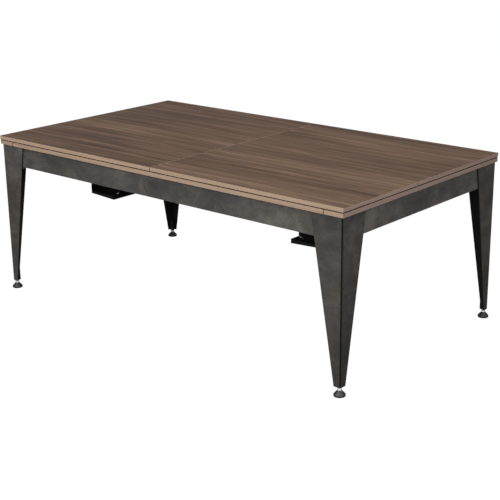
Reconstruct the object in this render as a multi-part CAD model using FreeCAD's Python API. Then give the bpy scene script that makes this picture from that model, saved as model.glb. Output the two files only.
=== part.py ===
"""Convertible pool and dining table with a lifting bed, built from separate named pieces.

Millimetres, +Z up, +X along the table, origin on the floor below the centre of the table.
Each function makes the solids of one kind of piece; save() writes them as one STEP file.
"""
import FreeCAD, Part
import math
import os

# ---------------------------------------------------------------- driving sizes
FIELD_LENGTH = 1830.0        # playing field between the end cushion noses
FIELD_WIDTH = 915.0          # playing field between the side cushion noses
RAIL_WIDTH = 126.0           # outer edge of the table to the cushion nose
CUSHION_DEPTH = 32.0         # cushion nose to the wooden rail cap
TABLE_HEIGHT = 787.0         # floor to the top of the dining leaves
LEAF_THICKNESS = 18.0
LEAF_SEAM = 2.0              # gap between the two dining leaves
LEAF_EDGE_BREAK = 0.8        # chamfer round the top of a leaf
PAD_THICKNESS = 3.0          # felt pads between a leaf and the rail caps
CAP_THICKNESS = 19.0
CAP_CORNER_RADIUS = 5.0
CAP_JOINT_GAP = 0.6          # gap between a long cap and the end cap it meets
CUSHION_HEIGHT = 40.0        # bed cloth to the top of the rail
NOSE_DROP = 3.2              # top of the rounded nose below the top of the rail
NOSE_HEIGHT = 4.6
NOSE_SETBACK = 2.6           # ends of the nose curve behind the nose line
CUSHION_BACK_DROP = 0.4
CUSHION_BASE = 12.0          # cloth to the lower edge of the cushion
CLOTH_THICKNESS = 1.0
SLATE_THICKNESS = 19.0
SLATE_GAP = 14.0             # slate to the fixed frame beams
SUB_RAIL_SETBACK = 46.0      # sub-rail in from the outer edge of the rail

APRON_HEIGHT = 100.0
APRON_LEG_GAP = 2.0          # apron to the inner face of a leg flange
APRON_WALL = 3.0
APRON_FLANGE = 24.0

LEG_INSET = 7.0              # table edge to the leg's outer faces
LEG_WALL = 5.0
LEG_CORNER_RELIEF = 0.6      # outer edge of each flange short of the inner corner
LEG_TOP_WIDTH = 154.0        # width of a leg flange just under the rail
LEG_FOOT_WIDTH = 34.0        # width of a leg flange at its lower end
LEG_TOP_GAP = 1.0            # leg to the underside of the rail cap
LEG_BACKING = 9.0            # square bar that joins the two flanges inside
SHELF_THICKNESS = 6.0
SHELF_REACH = 112.0          # shelf measured from the leg's inner faces
SHELF_GAP = 2.0              # shelf to the lower edge of the apron
SHELF_MARGIN = 2.0           # shelf beyond the inner faces of the beams

FOOT_INSET = 21.0            # table edge to the foot's axis
SOCKET_SIZE = 22.0
SOCKET_HEIGHT = 60.0
SOCKET_ROOF = 4.0            # solid metal above the threaded hole
STEM_RADIUS = 6.0
STEM_GRIP = 48.0             # length of stem inside the leg
STEM_CLEARANCE = 0.05        # running clearance of the stem in nut and socket
PAD_RADIUS = 25.0
PAD_RIM = 8.0
PAD_HEIGHT = 25.0
PAD_NECK_RADIUS = 10.0
PAD_EDGE_BREAK = 1.5
PAD_CURVE = 0.95              # power of the curve from rim to neck
PAD_CURVE_STEPS = 6
COLLAR_RADIUS = 9.0
COLLAR_HEIGHT = 4.0
NUT_ACROSS_FLATS = 19.0
NUT_HEIGHT = 7.5
THREAD_SHOWING = 3.5         # stem between the collar and the locknut

BEAM_INSET = 20.0            # table edge to the fixed frame beams
BEAM_WIDTH = 30.0
BEAM_HEIGHT = 50.0
TUBE_WALL = 2.0
CROSS_BEAM_WIDTH = 40.0
CROSS_BEAM_HEIGHT = 20.0
CROSS_BEAM_SETBACK = 305.0   # end of the table to the middle of a cross beam

BED_TUBE = 40.0
BED_TUBE_CUP_GAP = 6.5       # long tube to the cup of a side pocket
BED_TUBE_END_GAP = 22.0      # end of a long tube short of the corner pockets

TRAY_LENGTH = 160.0          # lift tray, along the table
TRAY_HALF_WIDTH = 297.0
TRAY_INNER_DROP = 184.0      # underside of a tray below the bed frame, at its inner edge
TRAY_OUTER_DROP = 176.0
TRAY_PLATE = 4.0
TRAY_LIP = 20.0
HANGER_SETBACK = 48.0        # hanger plates in from the front and back of a tray
WEB_TOP_GAP = 1.0            # web of a tray to the underside of the bed frame
HANGER_TOP_GAP = 6.0
HANGER_BOLT_INSET = 118.0    # bolt in a hanger from the tray's inner edge
TRAY_BOLT_ROWS = (-230.0, -90.0, 90.0, 230.0)

GAS_SPRING_Y = 150.0
GAS_CYLINDER_RADIUS = 11.0
GAS_CYLINDER_WALL = 2.0
GAS_CYLINDER_HEIGHT = 104.0
GAS_FOOT_HEIGHT = 10.0
GAS_ROD_RADIUS = 5.0
GAS_ROD_CLEARANCE = 0.05
GAS_PISTON_HEIGHT = 8.0
GAS_PISTON_GAP = 2.0         # piston above the bottom of its cylinder
GAS_SEAL_HEIGHT = 12.0

LEVER_PIVOT_INSET = 26.0     # lever pivot from the tray's inner edge
LEVER_PIVOT_RISE = 13.0      # lever pivot above the lowest edge of the tray
LEVER_LENGTH = 16.0
LEVER_WIDTH = 6.0
LEVER_HUB_RADIUS = 5.5
LEVER_THICKNESS = 5.0
LEVER_ANGLE = 40.0           # finger above the horizontal
LEVER_SIDE_GAP = 0.5
PIVOT_RADIUS = 3.0
PIVOT_CLEARANCE = 0.05
PIVOT_HEAD_RADIUS = 5.5
PIVOT_HEAD_HEIGHT = 3.0

POCKET_RADIUS = 50.0         # inside of a pocket
POCKET_WALL = 3.0
POCKET_CLEARANCE = 0.5
POCKET_BEAM_GAP = 3.0        # cups to the fixed frame beams
POCKET_APRON_GAP = 16.5      # side pocket to the inner face of the apron
SIDE_CUP_GROWTH = 3.0        # cup of a side pocket wider than its mouth
CUP_DROP = 51.0              # bottom of the cups below the slate
POCKET_FLOOR_OVERLAP = 3.0

CORNER_TIP_GAP = 32.0        # cushion nose end from the outside of a corner pocket
CORNER_FACING_ANGLE = 38.0
SIDE_TIP_GAP = 12.0          # cushion nose end from the outside of a side pocket
SIDE_FACING_ANGLE = 76.0

BATTEN_WIDTH = 20.0
BATTEN_DEPTH = 24.0
BATTEN_CLEARANCE = 4.0       # batten to the cushion nose
BATTEN_SEAM_GAP = 90.0       # battens along the table start this far from the seam
BATTEN_CORNER_GAP = 70.0     # battens stop short of each other at the corner pockets
PAD_SETBACK = 12.0
PAD_WIDTH = 40.0
PAD_SEAM_GAP = 30.0

BOLT_RADIUS = 4.0
BOLT_HOLE_CLEARANCE = 0.1
BOLT_ACROSS_FLATS = 13.0
BOLT_HEAD = 6.0
FRAME_BOLT_LENGTH = 16.0
TRAY_BOLT_LENGTH = 12.0
RAIL_BOLT_LENGTH = 34.0
RAIL_BOLT_X_SHARES = (-0.71, -0.27, 0.27, 0.71)    # places along half the field's length
RAIL_BOLT_Y_SHARES = (-0.48, 0.48)                 # places along half the field's width

# ---------------------------------------------------------------- worked-out sizes
HALF_LENGTH = FIELD_LENGTH / 2 + RAIL_WIDTH
HALF_WIDTH = FIELD_WIDTH / 2 + RAIL_WIDTH
NOSE_X = FIELD_LENGTH / 2
NOSE_Y = FIELD_WIDTH / 2
CAP_INNER_X = NOSE_X + CUSHION_DEPTH
CAP_INNER_Y = NOSE_Y + CUSHION_DEPTH
APRON_INSET = LEG_INSET + LEG_WALL + APRON_LEG_GAP

LEAF_BOTTOM = TABLE_HEIGHT - LEAF_THICKNESS
CAP_TOP = LEAF_BOTTOM - PAD_THICKNESS
CAP_BOTTOM = CAP_TOP - CAP_THICKNESS
CLOTH_TOP = CAP_TOP - CUSHION_HEIGHT
SLATE_TOP = CLOTH_TOP - CLOTH_THICKNESS
SLATE_BOTTOM = SLATE_TOP - SLATE_THICKNESS
BED_FRAME_BOTTOM = SLATE_BOTTOM - BED_TUBE
APRON_BOTTOM = CAP_BOTTOM - APRON_HEIGHT

LEG_TOP = CAP_BOTTOM - LEG_TOP_GAP
SHELF_TOP = APRON_BOTTOM - SHELF_GAP
LEG_BOTTOM = PAD_HEIGHT + COLLAR_HEIGHT + THREAD_SHOWING + NUT_HEIGHT
STEM_TOP = LEG_BOTTOM + STEM_GRIP
CROSS_BEAM_BOTTOM = BED_FRAME_BOTTOM - CROSS_BEAM_HEIGHT
CROSS_BEAM_CENTRE = HALF_LENGTH - CROSS_BEAM_SETBACK
BEAM_INNER_X = HALF_LENGTH - BEAM_INSET - BEAM_WIDTH
BEAM_INNER_Y = HALF_WIDTH - BEAM_INSET - BEAM_WIDTH
SUB_RAIL_WIDTH = RAIL_WIDTH - CUSHION_DEPTH - SUB_RAIL_SETBACK
SLATE_X = BEAM_INNER_X - SLATE_GAP
SLATE_Y = BEAM_INNER_Y - SLATE_GAP
TRAY_OUTER = CROSS_BEAM_CENTRE - CROSS_BEAM_WIDTH / 2
TRAY_INNER = TRAY_OUTER - TRAY_LENGTH
TRAY_INNER_BOTTOM = BED_FRAME_BOTTOM - TRAY_INNER_DROP
TRAY_OUTER_BOTTOM = BED_FRAME_BOTTOM - TRAY_OUTER_DROP
HANGER_FACE = TRAY_HALF_WIDTH - HANGER_SETBACK
HANGER_BACK = HANGER_FACE - TRAY_PLATE
HANGER_TOP = BED_FRAME_BOTTOM - HANGER_TOP_GAP
LIP_TOP = TRAY_INNER_BOTTOM + TRAY_LIP
LEVER_PIVOT_X = TRAY_INNER + LEVER_PIVOT_INSET
LEVER_PIVOT_Z = TRAY_INNER_BOTTOM + LEVER_PIVOT_RISE

POCKET_OUTER = POCKET_RADIUS + POCKET_WALL
POCKET_HOLE = POCKET_OUTER + POCKET_CLEARANCE
SIDE_CUP_RADIUS = POCKET_RADIUS + SIDE_CUP_GROWTH
CORNER_X = BEAM_INNER_X - POCKET_BEAM_GAP - POCKET_OUTER
CORNER_Y = BEAM_INNER_Y - POCKET_BEAM_GAP - POCKET_OUTER
SIDE_Y = HALF_WIDTH - APRON_INSET - APRON_WALL - POCKET_APRON_GAP - POCKET_OUTER
SIDE_CUP_Y = BEAM_INNER_Y - POCKET_BEAM_GAP - SIDE_CUP_RADIUS - POCKET_WALL
CUP_BOTTOM = SLATE_BOTTOM - CUP_DROP
CORNER_TIP = POCKET_OUTER + CORNER_TIP_GAP
SIDE_TIP = POCKET_OUTER + SIDE_TIP_GAP

BED_TUBE_CENTRE_Y = SIDE_CUP_Y - SIDE_CUP_RADIUS - POCKET_WALL - BED_TUBE_CUP_GAP - BED_TUBE / 2
BED_TUBE_HALF_LENGTH = CORNER_X - POCKET_OUTER - BED_TUBE_END_GAP
BED_END_TUBE_CENTRE = BED_TUBE_HALF_LENGTH - BED_TUBE / 2
BED_LIFT_TUBE_CENTRE = (TRAY_INNER + TRAY_OUTER) / 2

UP = FreeCAD.Vector(0, 0, 1)
SIDES = {"left": -1, "right": 1}
DEPTHS = {"front": -1, "back": 1}
CORNERS = [(d + "_" + s, SIDES[s], DEPTHS[d]) for d in DEPTHS for s in SIDES]


# ---------------------------------------------------------------- helpers
def save(name, solids):
    """Write one node; several solids stay separate inside it."""
    shape = solids[0] if len(solids) == 1 else Part.makeCompound(solids)
    shape.exportStep("parts/" + name + ".step")


def box(x0, x1, y0, y1, z0, z1):
    """A box between two corners given in any order."""
    low = FreeCAD.Vector(min(x0, x1), min(y0, y1), min(z0, z1))
    return Part.makeBox(abs(x1 - x0), abs(y1 - y0), abs(z1 - z0), low)


def prism(points, direction):
    """A closed outline of 3-D points pushed along a vector."""
    vectors = [FreeCAD.Vector(*p) for p in points]
    return Part.Face(Part.makePolygon(vectors + vectors[:1])).extrude(FreeCAD.Vector(*direction))


def rod(radius, x, y, z0, z1):
    """An upright round bar."""
    return Part.makeCylinder(radius, z1 - z0, FreeCAD.Vector(x, y, z0), UP)


def hexagon(across_flats, base, direction, height):
    """A hexagonal prism along any axis."""
    axis = FreeCAD.Vector(*direction)
    turn = FreeCAD.Rotation(UP, axis)
    corner = across_flats / math.sqrt(3)
    ring = [FreeCAD.Vector(corner * math.cos(math.radians(60 * k)),
                           corner * math.sin(math.radians(60 * k)), 0) for k in range(7)]
    origin = FreeCAD.Vector(*base)
    outline = [origin + turn.multVec(p) for p in ring]
    return Part.Face(Part.makePolygon(outline)).extrude(axis * height)


def tube(x0, x1, y0, y1, z0, z1, along):
    """A rectangular tube, open at both ends along the named axis."""
    inner = [min(x0, x1), max(x0, x1), min(y0, y1), max(y0, y1), z0, z1]
    for axis in range(3):
        grow = 1.0 if "xyz"[axis] == along else -TUBE_WALL
        inner[2 * axis] -= grow
        inner[2 * axis + 1] += grow
    return box(x0, x1, y0, y1, z0, z1).cut(box(*inner))


def turned(profile, x, y):
    """A solid of revolution about an upright axis, from radius and height pairs."""
    points = [FreeCAD.Vector(x + r, y, z) for r, z in profile]
    face = Part.Face(Part.makePolygon(points + points[:1]))
    return face.revolve(FreeCAD.Vector(x, y, 0), UP, 360)


def pocket_holes(z0, z1):
    """Upright round cutters for all six pockets."""
    cutters = []
    for _, sx, sy in CORNERS:
        cutters.append(rod(POCKET_HOLE, sx * CORNER_X, sy * CORNER_Y, z0, z1))
    for sy in DEPTHS.values():
        cutters.append(rod(POCKET_HOLE, 0, sy * SIDE_Y, z0, z1))
    return cutters


# ---------------------------------------------------------------- fixed leg frame
def leg(sx, sy):
    """Two tapered flanges with an open outer corner, a shelf for the beams and a foot socket."""
    outer_x = HALF_LENGTH - LEG_INSET
    outer_y = HALF_WIDTH - LEG_INSET
    inner_x = outer_x - LEG_WALL
    inner_y = outer_y - LEG_WALL
    edge_x = inner_x - LEG_CORNER_RELIEF
    edge_y = inner_y - LEG_CORNER_RELIEF
    front = prism([(sx * edge_x, sy * inner_y, LEG_BOTTOM),
                   (sx * (outer_x - LEG_FOOT_WIDTH), sy * inner_y, LEG_BOTTOM),
                   (sx * (outer_x - LEG_TOP_WIDTH), sy * inner_y, LEG_TOP),
                   (sx * edge_x, sy * inner_y, LEG_TOP)], (0, sy * LEG_WALL, 0))
    side = prism([(sx * inner_x, sy * edge_y, LEG_BOTTOM),
                  (sx * inner_x, sy * (outer_y - LEG_FOOT_WIDTH), LEG_BOTTOM),
                  (sx * inner_x, sy * (outer_y - LEG_TOP_WIDTH), LEG_TOP),
                  (sx * inner_x, sy * edge_y, LEG_TOP)], (sx * LEG_WALL, 0, 0))
    shelf_low = SHELF_TOP - SHELF_THICKNESS
    backing = box(sx * inner_x, sx * (inner_x - LEG_BACKING),
                  sy * inner_y, sy * (inner_y - LEG_BACKING), LEG_BOTTOM, shelf_low)
    shelf = prism([(sx * inner_x, sy * inner_y, shelf_low),
                   (sx * (inner_x - SHELF_REACH), sy * inner_y, shelf_low),
                   (sx * (inner_x - SHELF_REACH), sy * (BEAM_INNER_Y - SHELF_MARGIN), shelf_low),
                   (sx * (BEAM_INNER_X - SHELF_MARGIN), sy * (inner_y - SHELF_REACH), shelf_low),
                   (sx * inner_x, sy * (inner_y - SHELF_REACH), shelf_low)], (0, 0, SHELF_THICKNESS))
    socket = box(sx * inner_x, sx * (inner_x - SOCKET_SIZE),
                 sy * inner_y, sy * (inner_y - SOCKET_SIZE), LEG_BOTTOM, LEG_BOTTOM + SOCKET_HEIGHT)
    body = front.fuse([side, backing, shelf, socket]).removeSplitter()
    foot_x, foot_y = foot_axis(sx, sy)
    bore = rod(STEM_RADIUS + STEM_CLEARANCE, foot_x, foot_y, 0, LEG_BOTTOM + SOCKET_HEIGHT - SOCKET_ROOF)
    holes = [rod(BOLT_RADIUS + BOLT_HOLE_CLEARANCE, x, y, shelf_low - 1, SHELF_TOP + 1)
             for x, y in shelf_bolts(sx, sy)]
    return body.cut([bore] + holes)


def foot_axis(sx, sy):
    return sx * (HALF_LENGTH - FOOT_INSET), sy * (HALF_WIDTH - FOOT_INSET)


def shelf_bolts(sx, sy):
    """Two bolts through each shelf, one up into each beam."""
    beam_x = HALF_LENGTH - BEAM_INSET - BEAM_WIDTH / 2
    beam_y = HALF_WIDTH - BEAM_INSET - BEAM_WIDTH / 2
    along = SHELF_REACH - 2 * BOLT_ACROSS_FLATS
    return [(sx * (beam_x - along), sy * beam_y), (sx * beam_x, sy * (beam_y - along))]


def long_beams():
    """Rectangular tubes along the front and back, between the end beams."""
    holes = [rod(BOLT_RADIUS + BOLT_HOLE_CLEARANCE, *shelf_bolts(sx, sy)[0],
                 SHELF_TOP - 1, SHELF_TOP + TUBE_WALL + 1) for _, sx, sy in CORNERS]
    beams = []
    for sy in DEPTHS.values():
        beams.append(tube(-BEAM_INNER_X, BEAM_INNER_X, sy * BEAM_INNER_Y,
                          sy * (BEAM_INNER_Y + BEAM_WIDTH), SHELF_TOP, SHELF_TOP + BEAM_HEIGHT,
                          "x").cut(holes))
    return beams


def end_beams():
    """Rectangular tubes across both ends, over the leg shelves."""
    reach = BEAM_INNER_Y + BEAM_WIDTH
    holes = [rod(BOLT_RADIUS + BOLT_HOLE_CLEARANCE, *shelf_bolts(sx, sy)[1],
                 SHELF_TOP - 1, SHELF_TOP + TUBE_WALL + 1) for _, sx, sy in CORNERS]
    return [tube(sx * BEAM_INNER_X, sx * (BEAM_INNER_X + BEAM_WIDTH), -reach, reach,
                 SHELF_TOP, SHELF_TOP + BEAM_HEIGHT, "y").cut(holes) for sx in SIDES.values()]


def cross_beams():
    """Flat tubes that carry the bed frame and the lift trays."""
    beams = []
    for sx in SIDES.values():
        beam = tube(sx * TRAY_OUTER, sx * (TRAY_OUTER + CROSS_BEAM_WIDTH),
                    -BEAM_INNER_Y, BEAM_INNER_Y, CROSS_BEAM_BOTTOM, BED_FRAME_BOTTOM, "y")
        beams.append(beam.cut([tray_bolt_hole(sx, y) for y in TRAY_BOLT_ROWS]))
    return beams


def tray_bolt_hole(sx, y):
    """A hole along X through the tray's web and the wall of the cross beam."""
    start = FreeCAD.Vector(sx * (TRAY_OUTER - 2 * TRAY_PLATE), y, cross_beam_middle())
    return Part.makeCylinder(BOLT_RADIUS + BOLT_HOLE_CLEARANCE, 2 * TRAY_PLATE + 2 * TUBE_WALL,
                             start, FreeCAD.Vector(sx, 0, 0))


def cross_beam_middle():
    return CROSS_BEAM_BOTTOM + CROSS_BEAM_HEIGHT / 2


def tray_floor(x):
    """Height of the underside of a tray, which falls towards mid-table."""
    share = (abs(x) - TRAY_INNER) / (TRAY_OUTER - TRAY_INNER)
    return TRAY_INNER_BOTTOM + share * (TRAY_OUTER_BOTTOM - TRAY_INNER_BOTTOM)


def lift_tray(sx):
    """Folded steel tray with an outer web, front and back lips and two hanger plates."""
    def slab(x0, x1, low_rise, top, y0, y1):
        outline = [(sx * x0, y0, tray_floor(x0) + low_rise), (sx * x1, y0, tray_floor(x1) + low_rise)]
        outline += [(sx * x1, y0, top(x1)), (sx * x0, y0, top(x0))]
        return prism(outline, (0, y1 - y0, 0))
    web_inner = TRAY_OUTER - TRAY_PLATE
    pieces = [slab(TRAY_INNER, TRAY_OUTER, 0, lambda x: tray_floor(x) + TRAY_PLATE,
                   -TRAY_HALF_WIDTH, TRAY_HALF_WIDTH)]
    pieces.append(slab(web_inner, TRAY_OUTER, 0, lambda x: BED_FRAME_BOTTOM - WEB_TOP_GAP,
                       -TRAY_HALF_WIDTH, TRAY_HALF_WIDTH))
    for sy in DEPTHS.values():
        edge = sy * TRAY_HALF_WIDTH
        pieces.append(slab(TRAY_INNER, TRAY_OUTER, 0, lambda x: LIP_TOP, edge, edge - sy * TRAY_PLATE))
        pieces.append(slab(TRAY_INNER, TRAY_INNER + TRAY_PLATE, 0, lambda x: LIP_TOP,
                           edge, sy * HANGER_BACK))
        face = sy * HANGER_FACE
        pieces.append(slab(TRAY_INNER + TRAY_PLATE, TRAY_OUTER, 0, lambda x: HANGER_TOP,
                           face, sy * HANGER_BACK))
    tray = pieces[0].fuse(pieces[1:]).removeSplitter()
    holes = [tray_bolt_hole(sx, y) for y in TRAY_BOLT_ROWS]
    start = FreeCAD.Vector(sx * LEVER_PIVOT_X, -HANGER_FACE - 1, LEVER_PIVOT_Z)
    holes.append(Part.makeCylinder(PIVOT_RADIUS, TRAY_PLATE + 2, start, FreeCAD.Vector(0, 1, 0)))
    for sy in DEPTHS.values():
        start = FreeCAD.Vector(*hanger_bolt(sx, sy)) + FreeCAD.Vector(0, sy, 0)
        holes.append(Part.makeCylinder(BOLT_RADIUS + BOLT_HOLE_CLEARANCE, TRAY_PLATE + 2, start,
                                       FreeCAD.Vector(0, -sy, 0)))
    return tray.cut(holes)


def hanger_bolt(sx, sy):
    """Seat of the bolt through each hanger plate."""
    return sx * (TRAY_INNER + HANGER_BOLT_INSET), sy * HANGER_FACE, LIP_TOP


def bolt(seat, direction, length):
    """Hex-head bolt: the head stands on the seat and the shank runs the other way."""
    axis = FreeCAD.Vector(*direction)
    head = hexagon(BOLT_ACROSS_FLATS, seat, direction, BOLT_HEAD)
    shank = Part.makeCylinder(BOLT_RADIUS, length, FreeCAD.Vector(*seat), axis * -1)
    return head.fuse(shank)


def frame_bolts():
    """Bolts of the fixed frame: shelf to beam, tray to cross beam, and one in each hanger."""
    bolts = []
    for _, sx, sy in CORNERS:
        for x, y in shelf_bolts(sx, sy):
            bolts.append(bolt((x, y, SHELF_TOP - SHELF_THICKNESS), (0, 0, -1), FRAME_BOLT_LENGTH))
        bolts.append(bolt(hanger_bolt(sx, sy), (0, sy, 0), TRAY_BOLT_LENGTH))
    for sx in SIDES.values():
        for y in TRAY_BOLT_ROWS:
            seat = (sx * (TRAY_OUTER - TRAY_PLATE), y, cross_beam_middle())
            bolts.append(bolt(seat, (-sx, 0, 0), TRAY_BOLT_LENGTH))
    return bolts


def locknuts():
    """Hexagon nuts that lock the foot stems under the legs."""
    nuts = []
    for _, sx, sy in CORNERS:
        x, y = foot_axis(sx, sy)
        low = LEG_BOTTOM - NUT_HEIGHT
        nut = hexagon(NUT_ACROSS_FLATS, (x, y, low), (0, 0, 1), NUT_HEIGHT)
        nuts.append(nut.cut(rod(STEM_RADIUS + STEM_CLEARANCE, x, y, low - 1, LEG_BOTTOM + 1)))
    return nuts


def gas_axes():
    return [(sx * BED_LIFT_TUBE_CENTRE, sy * GAS_SPRING_Y) for _, sx, sy in CORNERS]


def gas_base(x):
    """Top of the tray floor at the gas springs' outer edge, where their feet stand."""
    return tray_floor(abs(x) + GAS_CYLINDER_RADIUS) + TRAY_PLATE


def gas_cylinders():
    """Cylinders of the four gas springs, standing on the trays."""
    cylinders = []
    for x, y in gas_axes():
        base = gas_base(x)
        low = base + GAS_FOOT_HEIGHT
        top = low + GAS_CYLINDER_HEIGHT
        barrel = rod(GAS_CYLINDER_RADIUS, x, y, base, top)
        cavity = rod(GAS_CYLINDER_RADIUS - GAS_CYLINDER_WALL, x, y, low, top - GAS_SEAL_HEIGHT)
        throat = rod(GAS_ROD_RADIUS + GAS_ROD_CLEARANCE, x, y, low, top + 1)
        cylinders.append(barrel.cut([cavity, throat]))
    return cylinders


def gas_rods():
    """Piston rods that push up on the bed's lift tubes."""
    rods = []
    piston_radius = GAS_CYLINDER_RADIUS - GAS_CYLINDER_WALL - GAS_ROD_CLEARANCE
    for x, y in gas_axes():
        low = gas_base(x) + GAS_FOOT_HEIGHT + GAS_PISTON_GAP
        piston = rod(piston_radius, x, y, low, low + GAS_PISTON_HEIGHT)
        rods.append(rod(GAS_ROD_RADIUS, x, y, low, BED_FRAME_BOTTOM).fuse(piston))
    return rods


def release_lever(sx):
    """Finger lever on the hanger plate, standing up and towards mid-table."""
    y_low = -(HANGER_FACE + LEVER_SIDE_GAP)
    angle = math.radians(LEVER_ANGLE)
    half = LEVER_WIDTH / 2
    along = (-sx * math.cos(angle), math.sin(angle))
    across = (sx * math.sin(angle), math.cos(angle))
    pivot = (sx * LEVER_PIVOT_X, LEVER_PIVOT_Z)
    corners = [(0, -half), (LEVER_LENGTH, -half), (LEVER_LENGTH, half), (0, half)]
    outline = [(pivot[0] + a * along[0] + b * across[0], y_low,
                pivot[1] + a * along[1] + b * across[1]) for a, b in corners]
    bar = prism(outline, (0, -LEVER_THICKNESS, 0))
    front = FreeCAD.Vector(0, -1, 0)
    start = FreeCAD.Vector(pivot[0], y_low, pivot[1])
    tip = FreeCAD.Vector(pivot[0] + LEVER_LENGTH * along[0], y_low, pivot[1] + LEVER_LENGTH * along[1])
    hub = Part.makeCylinder(LEVER_HUB_RADIUS, LEVER_THICKNESS, start, front)
    end = Part.makeCylinder(half, LEVER_THICKNESS, tip, front)
    hole = Part.makeCylinder(PIVOT_RADIUS + PIVOT_CLEARANCE, LEVER_THICKNESS, start, front)
    return bar.fuse([hub, end]).removeSplitter().cut(hole)


def lever_pivots():
    """Shoulder pins of the two levers, fixed in the front hanger plates."""
    pins = []
    length = TRAY_PLATE + LEVER_THICKNESS + 2 * LEVER_SIDE_GAP
    axis = FreeCAD.Vector(0, -1, 0)
    for sx in SIDES.values():
        start = FreeCAD.Vector(sx * LEVER_PIVOT_X, TRAY_PLATE - HANGER_FACE, LEVER_PIVOT_Z)
        pin = Part.makeCylinder(PIVOT_RADIUS, length, start, axis)
        head = Part.makeCylinder(PIVOT_HEAD_RADIUS, PIVOT_HEAD_HEIGHT, start + axis * length, axis)
        pins.append(pin.fuse(head))
    return pins


# ---------------------------------------------------------------- levelling feet
def foot_pad(sx, sy):
    """Bell-shaped foot with a blind hole for the stem."""
    x, y = foot_axis(sx, sy)
    profile = [(0, 0), (PAD_RADIUS - PAD_EDGE_BREAK, 0), (PAD_RADIUS, PAD_EDGE_BREAK), (PAD_RADIUS, PAD_RIM)]
    drop = PAD_HEIGHT - PAD_RIM
    for k in range(1, PAD_CURVE_STEPS + 1):
        share = k / PAD_CURVE_STEPS
        radius = PAD_NECK_RADIUS + (PAD_RADIUS - PAD_NECK_RADIUS) * (1 - share) ** PAD_CURVE
        profile.append((radius, PAD_RIM + drop * share))
    profile += [(STEM_RADIUS, PAD_HEIGHT), (STEM_RADIUS, PAD_RIM), (0, PAD_RIM)]
    return turned(profile, x, y)


def foot_stem(sx, sy):
    """Threaded stem with a collar on top of the pad."""
    x, y = foot_axis(sx, sy)
    stem = rod(STEM_RADIUS, x, y, PAD_RIM, STEM_TOP)
    return stem.fuse(rod(COLLAR_RADIUS, x, y, PAD_HEIGHT, PAD_HEIGHT + COLLAR_HEIGHT))


# ---------------------------------------------------------------- lifting bed
def long_apron(sy):
    """Folded steel apron along the front or back, with a flange under the rail cap."""
    reach = HALF_LENGTH - APRON_INSET
    face = HALF_WIDTH - APRON_INSET
    web = box(-reach, reach, sy * face, sy * (face - APRON_WALL), APRON_BOTTOM, CAP_BOTTOM)
    flange = box(-reach, reach, sy * face, sy * (face - APRON_FLANGE), CAP_BOTTOM - APRON_WALL, CAP_BOTTOM)
    return web.fuse(flange).removeSplitter().cut(pocket_holes(APRON_BOTTOM, CAP_TOP))


def end_apron(sx):
    """Folded steel apron across one end, between the long aprons."""
    face = HALF_LENGTH - APRON_INSET
    reach = HALF_WIDTH - APRON_INSET
    web_reach = reach - APRON_WALL
    flange_reach = reach - APRON_FLANGE
    web = box(sx * face, sx * (face - APRON_WALL), -web_reach, web_reach,
              APRON_BOTTOM, CAP_BOTTOM - APRON_WALL)
    flange = box(sx * face, sx * (face - APRON_FLANGE), -flange_reach, flange_reach,
                 CAP_BOTTOM - APRON_WALL, CAP_BOTTOM)
    return web.fuse(flange).removeSplitter()


def end_cap(sx):
    """Wooden rail cap across one end, running through both corners."""
    board = box(sx * CAP_INNER_X, sx * HALF_LENGTH, -HALF_WIDTH, HALF_WIDTH, CAP_BOTTOM, CAP_TOP)
    upright = [e for e in board.Edges
               if abs(e.Vertexes[0].X) > CAP_INNER_X + 1 and abs(e.tangentAt(e.FirstParameter).z) > 0.9]
    return board.makeFillet(CAP_CORNER_RADIUS, upright).cut(pocket_holes(CAP_BOTTOM - 1, CAP_TOP + 1))


def long_cap(sy):
    """Wooden rail cap along the front or back, between the end caps."""
    reach = CAP_INNER_X - CAP_JOINT_GAP
    board = box(-reach, reach, sy * CAP_INNER_Y, sy * HALF_WIDTH, CAP_BOTTOM, CAP_TOP)
    return board.cut(pocket_holes(CAP_BOTTOM - 1, CAP_TOP + 1))


def rail_bolt_axes():
    """Places of the bolts through the slate: end rails first, then the long rails."""
    end_x = (CAP_INNER_X + SLATE_X) / 2
    long_y = (CAP_INNER_Y + SLATE_Y) / 2
    end = [(sx * end_x, k * NOSE_Y) for sx in SIDES.values() for k in RAIL_BOLT_Y_SHARES]
    return end + [(k * NOSE_X, sy * long_y) for sy in DEPTHS.values() for k in RAIL_BOLT_X_SHARES]


def rail_bolt_holes():
    return [rod(BOLT_RADIUS + BOLT_HOLE_CLEARANCE, x, y, SLATE_BOTTOM - 1,
                SLATE_BOTTOM + RAIL_BOLT_LENGTH + 1) for x, y in rail_bolt_axes()]


def rail_bolts():
    """Bolts that draw the rails down on the slate."""
    return [bolt((x, y, SLATE_BOTTOM), (0, 0, -1), RAIL_BOLT_LENGTH) for x, y in rail_bolt_axes()]


def end_sub_rail(sx):
    """Wooden rail between the slate and the end cap."""
    reach = CAP_INNER_Y + SUB_RAIL_WIDTH
    board = box(sx * CAP_INNER_X, sx * (CAP_INNER_X + SUB_RAIL_WIDTH), -reach, reach, SLATE_TOP, CAP_BOTTOM)
    return board.cut(pocket_holes(SLATE_TOP - 1, CAP_TOP) + rail_bolt_holes()).Solids


def long_sub_rail(sy):
    """Wooden rail between the slate and a long cap, in two lengths at the side pocket."""
    board = box(-CAP_INNER_X, CAP_INNER_X, sy * CAP_INNER_Y, sy * (CAP_INNER_Y + SUB_RAIL_WIDTH),
                SLATE_TOP, CAP_BOTTOM)
    return board.cut(pocket_holes(SLATE_TOP - 1, CAP_TOP) + rail_bolt_holes()).Solids


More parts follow.
